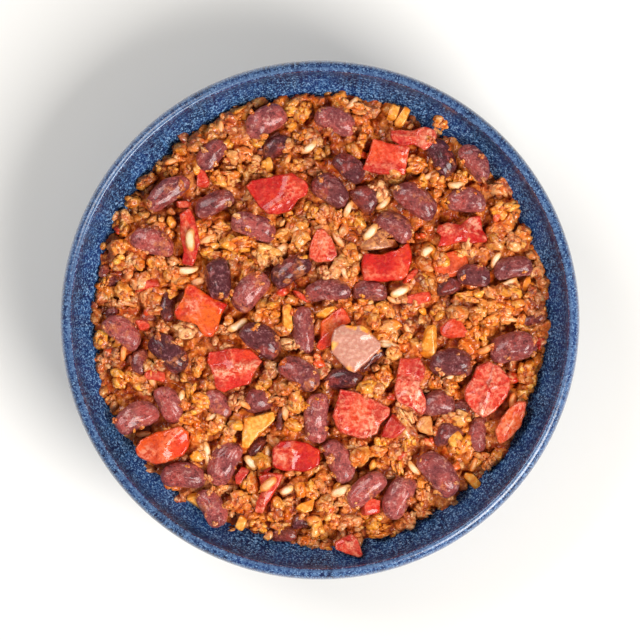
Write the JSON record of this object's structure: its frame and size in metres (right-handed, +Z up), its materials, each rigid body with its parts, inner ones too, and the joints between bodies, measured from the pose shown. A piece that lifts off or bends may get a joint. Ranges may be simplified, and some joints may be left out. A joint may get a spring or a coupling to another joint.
{
  "type": "chili con carne in bowl",
  "caption": "Round shallow glazed bowl filled with chili con carne: minced meat in sauce with kidney beans, red pepper, onion and rice grains, ready to serve.",
  "frame": {"origin": "centre of the foot ring on the surface the bowl stands on", "axes": "+Z up, out of the bowl's mouth; +Y is the top of the plan view and +X its right"},
  "size_m": [0.2, 0.2, 0.052],
  "materials": {
    "glaze": "gloss",
    "chili": "satin",
    "bean": "gloss",
    "pepper": "gloss",
    "onion": "gloss"
  },
  "bodies": {
    "root": {"bowl": "glaze", "chili": "chili", "bean_01": "bean", "bean_02": "bean", "bean_03": "bean", "bean_04": "bean", "bean_05": "bean", "bean_06": "bean", "bean_07": "bean", "bean_08": "bean", "bean_09": "bean", "bean_10": "bean", "bean_11": "bean", "bean_12": "bean", "bean_13": "bean", "bean_14": "bean", "bean_15": "bean", "bean_16": "bean", "bean_17": "bean", "bean_18": "bean", "bean_19": "bean", "bean_20": "bean", "bean_21": "bean", "bean_22": "bean", "bean_23": "bean", "bean_24": "bean", "bean_25": "bean", "bean_26": "bean", "bean_27": "bean", "bean_28": "bean", "bean_29": "bean", "bean_30": "bean", "bean_31": "bean", "bean_32": "bean", "bean_33": "bean", "bean_34": "bean", "bean_35": "bean", "bean_36": "bean", "bean_37": "bean", "bean_38": "bean", "pepper_01": "pepper", "pepper_02": "pepper", "pepper_03": "pepper", "pepper_04": "pepper", "pepper_05": "pepper", "pepper_06": "pepper", "pepper_07": "pepper", "pepper_08": "pepper", "pepper_09": "pepper", "pepper_10": "pepper", "pepper_11": "pepper", "pepper_12": "pepper", "pepper_13": "pepper", "pepper_14": "pepper", "pepper_15": "pepper", "pepper_16": "pepper", "pepper_17": "pepper", "pepper_18": "pepper", "onion_01": "onion", "onion_02": "onion"}
  },
  "joints": []
}
